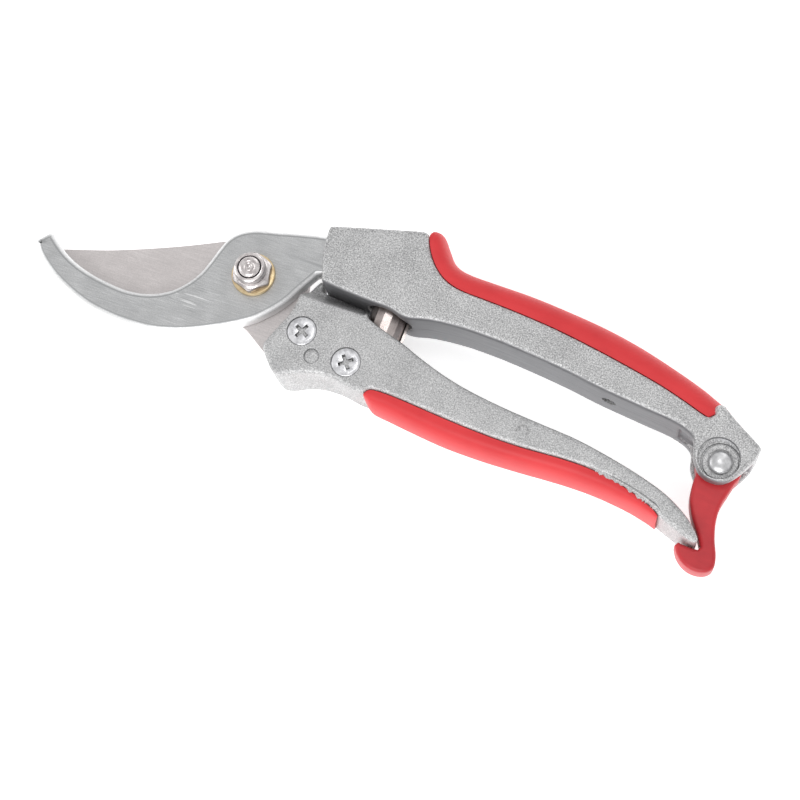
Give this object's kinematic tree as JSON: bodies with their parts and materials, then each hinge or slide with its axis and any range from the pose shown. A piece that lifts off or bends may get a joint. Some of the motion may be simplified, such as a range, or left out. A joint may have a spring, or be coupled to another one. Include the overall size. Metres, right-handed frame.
{
  "type": "pruning shears",
  "caption": "Bypass pruning shears with a curved blade and hooked counter blade, cast handles with soft red grips, a volute spring and a swinging catch.",
  "frame": {"origin": "on the pivot axis, at the outer face of the pivot bolt's head, which is in the plane that the shears rest on", "axes": "+X from the pivot towards the handle ends, +Y across towards the upper handle, +Z along the pivot axis from the bolt's head to the nut"},
  "size_m": [0.2058, 0.0656, 0.0204],
  "materials": {
    "cast_aluminium": "die-cast, fine grain",
    "rivet_aluminium": "satin",
    "blade_steel": "ground",
    "zinc_steel": "bright zinc plate",
    "yellow_zinc": "yellow zinc plate",
    "spring_steel": "nickel plate",
    "nut_nylon": "matte",
    "red_grip": "soft moulded plastic",
    "red_catch": "moulded plastic"
  },
  "bodies": {
    "upper": {"upper_handle": "cast_aluminium", "upper_grip": "red_grip", "counter_blade": "blade_steel", "counter_blade_screws": "zinc_steel", "pivot_bolt": "zinc_steel", "bolt_head_washer": "zinc_steel", "nut_washer": "yellow_zinc", "lock_nut": "zinc_steel", "nut_insert": "nut_nylon", "volute_spring": "spring_steel", "catch_rivet": "rivet_aluminium", "catch_wave_washer": "zinc_steel", "upper_grip_screw": "zinc_steel"},
    "lower": {"lower_handle": "cast_aluminium", "lower_grip": "red_grip", "cutting_blade": "blade_steel", "blade_screws": "zinc_steel", "locating_pin": "rivet_aluminium", "lower_grip_pin": "rivet_aluminium"},
    "catch": {"safety_catch": "red_catch"}
  },
  "joints": [
    {"name": "blade_pivot", "type": "hinge", "parent": "upper", "child": "lower", "pos_m": [0, 0, 0.007], "axis": [0, 0, -1], "range_deg": [0, 36], "deforming": ["volute_spring"]},
    {"name": "catch_pivot", "type": "hinge", "parent": "upper", "child": "catch", "pos_m": [0.1346, -0.01, 0.009], "axis": [0, 0, 1], "range_deg": [0, 60]}
  ]
}
